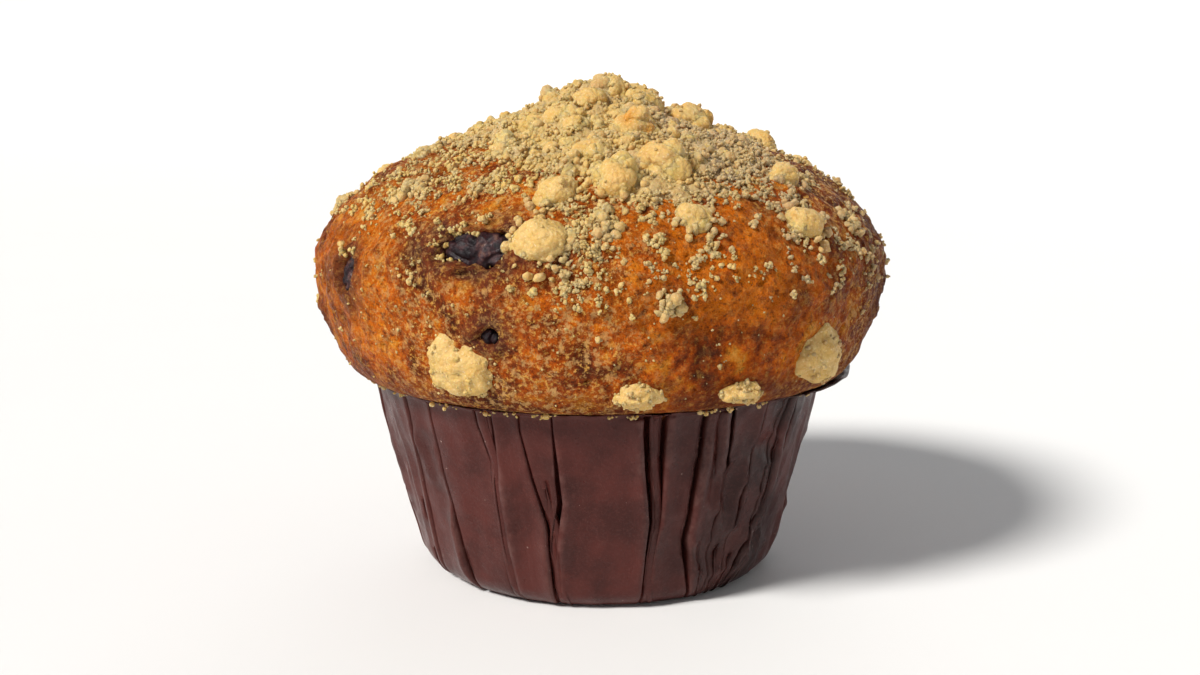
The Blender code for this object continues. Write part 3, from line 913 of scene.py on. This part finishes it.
def rim_lumps(finish):
    """Lumps of topping that sank into the rim of the cap as it rose."""
    for k, name in enumerate(RIM_LUMPS):
        dice = np.random.default_rng(240 + k)
        low, high = node_box(name)
        way = way_to(name)
        size = high - low
        reach = np.array((0.48 * math.hypot(size[0], size[1]), 0.52 * size[2], 2.7))
        shift = np.array((9.0 * k, 4.0, 2.0))
        ball_points = BALLS[5][0]
        form = 1.0 + 0.20 * cloud(ball_points + shift, 1.2, 67)
        form = form + 0.16 * cloud(ball_points + shift, 0.5, 68)
        solid = grained(ball_points, ball_points * form[:, None] * reach, shift)
        turn = turned_to(way, 0.0)
        base = crust_distance(way[None])[0]
        placed = solid @ turn.T + CORE + way * (base - 0.9)
        lumps = [(placed, 5)]
        lumps += stuck_grains(dice, placed, ball_points @ turn.T, 90, (0.12, 0.34))
        toasts = [toast_of(points, 0.12, 71) for points, _ in lumps]
        merged(f"rim_lump_{k + 1}", lumps, toasts, finish, (name,))


BERRY_DEPTH = 2.45                   # from the crust's usual level to a berry's centre


def blueberries(finish):
    """Shrunken berries down in their openings, their skins wrinkled and split."""
    for k, name in enumerate(BERRIES):
        wide, high = opening_of(name)
        way = way_to(name)
        points, faces = BALLS[5]
        shift = np.array((5.0 * k, 1.0, 8.0))
        body = points * (wide + 0.9, high + 0.9, 2.0)
        creases = smooth(1.0 - np.abs(cloud(body + shift, 2.4, 72)) / 0.22)
        form = 0.35 * cloud(body + shift, 2.6, 73) - 0.45 * creases + 0.16 * cloud(body + shift, 0.8, 74)
        placed = (body + points * form[:, None]) @ turned_to(way, 0.0).T
        placed += CORE + way * (plain_distance(way[None])[0] + 0.3 - BERRY_DEPTH)
        build(f"berry_{k + 1}", placed, faces, finish, (name,))


def scatter(name, places, radii, toasts, finish, seed):
    """Many loose grains, merged into a few pieces."""
    dice = np.random.default_rng(seed)
    per_piece = PIECE_LIMIT // len(BALLS[GRAIN_DETAIL][1])
    for part, start in enumerate(range(0, len(places), per_piece)):
        end = min(start + per_piece, len(places))
        lumps = [(grain(dice, places[k], radii[k]), GRAIN_DETAIL) for k in range(start, end)]
        tint = [np.full(len(lump), toasts[start + k]) for k, (lump, _) in enumerate(lumps)]
        merged(f"{name}_{part + 1}", lumps, tint, finish)


def random_ways(count, lowest, seed):
    """Directions spread evenly over the cap above an elevation in degrees."""
    dice = np.random.default_rng(seed)
    rise = dice.uniform(math.sin(math.radians(lowest)), 1.0, count)
    turn = dice.uniform(-180.0, 180.0, count)
    return at(turn, np.sqrt(1.0 - rise ** 2), rise)


def grain_chance(spots):
    """How likely a loose grain is: thick on the mound, in drifts down the cap, rare elsewhere."""
    across = np.hypot(spots[:, 0], spots[:, 1])
    turn = azimuth_of(spots)
    edge = topping_edge(turn) + 2.4 * cloud(spots, 5.0, 11)
    thick = smooth((edge + 2.0 - across) / 3.0)
    patchy = smooth((cloud(spots, 5.0, 93) + 0.6 * cloud(spots, 2.0, 94) - 0.05) / 0.4)
    strewn = patchy * smooth((spots[:, 2] - 40.3) / 12.0) * (0.2 + 0.8 * around(turn, 12.0, 90.0))
    strewn += 0.3 * around(turn, -48.0, 26.0) * smooth((spots[:, 2] - 51.0) / 4.0)
    trail = around(turn, -4.0, 10.0) * smooth((spots[:, 2] - 41.8) / 3.0)
    trail = trail * smooth((cloud(spots, 2.5, 95) + 0.4) / 0.5)
    right = around(turn, 52.0, 16.0) * smooth((spots[:, 2] - 41.3) / 6.0) * patchy
    side = around(turn, 58.0, 62.0) * smooth((across - 5.0) / 7.0)
    sparse = 0.75 * strewn + 0.75 * trail + 0.4 * right + 0.004
    return thick * (0.24 + 0.3 * side) + (1.0 - thick) * sparse


def loose_grains(finish):
    """Loose grains lying on the cap and the mound, most with smaller ones stuck to them."""
    dice = np.random.default_rng(91)
    ways = random_ways(GRAIN_TRIES, -6.0, 92)
    spots = CORE + ways * support_distance(ways)[:, None]
    kept = np.flatnonzero(dice.random(len(ways)) < grain_chance(spots))
    heaped = heap_height(spots) > 0.2
    places, radii = [], []
    for k in kept:
        radius = 0.13 + 0.33 * dice.random() ** 2.4
        rise = dice.uniform(-0.2, 1.2) if heaped[k] else dice.uniform(0.1, 0.5)
        place = spots[k] + ways[k] * rise * radius
        places.append(place)
        radii.append(radius)
        for _ in range(dice.integers(0, 6)):     # smaller grains stuck to this one
            arm = dice.normal(size=3)
            size = radius * dice.uniform(0.45, 0.85)
            places.append(place + arm / np.linalg.norm(arm) * (radius + 0.4 * size))
            radii.append(size)
    toasts = np.clip(dice.normal(0.03, 0.08, len(places)), 0.0, 0.4)
    scatter("loose_grains", np.array(places), np.array(radii), toasts, finish, 96)


def clump_places(dice, ways, spots):
    """Which of the spots get a clump, and its radius: largest near the top, few at the sandy side."""
    across = np.hypot(spots[:, 0], spots[:, 1])
    fine_side = around(azimuth_of(spots), 48.0, 42.0) * smooth((across - 9.0) / 4.0)
    inside = smooth((topping_edge(azimuth_of(spots)) - 1.0 - across) / 3.0)
    kept = np.flatnonzero(dice.random(len(ways)) < 0.5 * inside * (1.0 - 0.85 * fine_side))
    chosen, sizes = [], []
    for k in kept:
        spread = 0.9 + 1.7 * smooth((19.0 - across[k]) / 12.0)
        radius = 0.9 + spread * dice.random() ** 1.1
        if all(np.linalg.norm(spots[k] - spots[other]) > 0.8 * (radius + size)
               for other, size in zip(chosen, sizes)):
            chosen.append(k)
            sizes.append(radius)
    return chosen, sizes


def clumps(finish):
    """Grains that baked together in clumps all over the mound, merged into a few pieces."""
    dice = np.random.default_rng(111)
    ways = random_ways(CLUMP_TRIES, 30.0, 112)
    base = support_distance(ways)
    chosen, sizes = clump_places(dice, ways, CORE + ways * base[:, None])
    made = []
    for k, radius in zip(chosen, sizes):
        turn = turned_to(ways[k], 2.1 * k)
        centre = CORE + ways[k] * (base[k] - 0.35 * radius)
        fused = fused_lumps(dice, centre, turn, radius, 0.37 * k, 4)
        outward = BALLS[4][0] @ turn.T
        grains = stuck_grains(dice, fused[0][0], outward, int(5.0 * radius ** 2), (0.16, 0.4))
        made.append(fused + grains)
    for part, start in enumerate(range(0, len(made), CLUMPS_PER_PIECE)):
        group = list(itertools.chain(*made[start:start + CLUMPS_PER_PIECE]))
        toasts = [toast_of(points, 0.14, 66) for points, _ in group]
        merged(f"clumps_{part + 1}", group, toasts, finish)


def edge_crumbs(dice, finish):
    """Tiny crumbs caught on the turned-out edge of the paper."""
    middle = np.concatenate((dice.uniform(-80.0, 80.0, 24), dice.uniform(80.0, 280.0, 20)))
    turn = np.repeat(middle, 6) + dice.normal(0.0, 1.6, 6 * len(middle))
    out = RIM_RADIUS + dice.uniform(-0.6, 1.3, len(turn))
    places = at(turn, out, RIM_HEIGHT + dice.uniform(0.35, 0.8, len(turn)))
    radii = 0.09 + 0.30 * dice.random(len(turn)) ** 2
    scatter("edge_crumbs", places, radii, np.full(len(turn), 0.1), finish, 98)


def sugar_grains(dice, finish):
    """Fine sugar on the crust, thickest in patches at the front."""
    ways = random_ways(SUGAR_TRIES, -14.0, 99)
    patches = smooth((cloud(NOISE_RADIUS * ways, 6.0, 101) + 0.3) / 0.5)
    patchy = 0.12 + around(azimuth_of(ways), -14.0, 60.0) * patches
    ways = ways[dice.random(len(ways)) < patchy]
    places = CORE + ways * (crust_distance(ways) + 0.03)[:, None]
    radii = 0.07 + 0.11 * dice.random(len(ways)) ** 2
    scatter("sugar_grains", places, radii, np.zeros(len(ways)), finish, 100)


# ---- studio ----

def stage():
    """A round pale floor whose rim sweeps up into a backdrop."""
    turns = np.linspace(0.0, 2.0 * math.pi, 97)[:-1]
    profile = [(0.3, 0.0), (0.9, 0.0), (1.2, 0.015), (1.4, 0.06), (1.52, 0.15), (1.58, 0.28),
               (1.6, 0.48)]
    mesh = bpy.data.meshes.new("studio_floor")
    points = [(0.0, 0.0, 0.0)]
    for radius, height in profile:
        points += [(radius * math.cos(turn), radius * math.sin(turn), height) for turn in turns]
    count = len(turns)
    faces = [(0, 1 + k, 1 + (k + 1) % count) for k in range(count)]
    for row in range(len(profile) - 1):
        here = 1 + row * count
        for k in range(count):
            after = (k + 1) % count
            faces.append((here + k, here + count + k, here + count + after, here + after))
    mesh.from_pydata(points, [], faces)
    mesh.shade_smooth()
    made = Finish("studio_paper")
    tone = made.mix(made.noise(60.0, 2.0, 0.5, 50.0), (0.84, 0.84, 0.845), (0.86, 0.86, 0.86))
    made.finish(tone, 0.85, made.bump(made.noise(1.0, 2.0, 0.5, 51.0), 0.004))
    mesh.materials.append(made.material)
    floor = bpy.data.objects.new("studio_floor", mesh)
    bpy.context.scene.collection.objects.link(floor)


def sun(name, azimuth, elevation, strength, softness, colour):
    """A distant soft light; softness is the angle in degrees that it fills."""
    light = bpy.data.lights.new(name, "SUN")
    light.energy = strength
    light.angle = math.radians(softness)
    light.color = colour
    lamp = bpy.data.objects.new(name, light)
    lamp.rotation_euler = (math.radians(90.0 - elevation), 0.0, math.radians(azimuth))
    bpy.context.scene.collection.objects.link(lamp)


def studio():
    stage()
    sun("key", -50.0, 42.0, 4.2, 14.0, (1.0, 0.975, 0.93))
    sun("back_fill", 170.0, 35.0, 0.4, 40.0, (0.95, 0.97, 1.0))
    world = bpy.data.worlds.new("studio")
    world.use_nodes = True
    world.node_tree.nodes["Background"].inputs["Color"].default_value = (0.96, 0.98, 1.0, 1.0)
    world.node_tree.nodes["Background"].inputs["Strength"].default_value = 0.2
    bpy.context.scene.world = world
    bpy.context.scene.view_settings.view_transform = "Standard"


def camera():
    """A 45 mm lens 214 mm in front of the axis, as high as the muffin and looking slightly down."""
    lens = bpy.data.cameras.new("camera")
    lens.lens = 45.0
    lens.sensor_width = 36.0
    lens.clip_start = 0.01
    seen = bpy.data.objects.new("camera", lens)
    seen.location = (0.0, -0.214, 0.0720)
    seen.rotation_euler = (math.radians(90.0 - 10.5), 0.0, 0.0)
    bpy.context.scene.collection.objects.link(seen)
    bpy.context.scene.camera = seen


camera()
studio()
STREUSEL = streusel_finish()
paper_case(paper_finish())
baked_cake(crust_finish())
topping_mound(STREUSEL)
large_crumbs(STREUSEL)
rim_lumps(STREUSEL)
blueberries(berry_finish())
clumps(STREUSEL)
loose_grains(STREUSEL)
FINE_DICE = np.random.default_rng(97)
edge_crumbs(FINE_DICE, STREUSEL)
sugar_grains(FINE_DICE, STREUSEL)
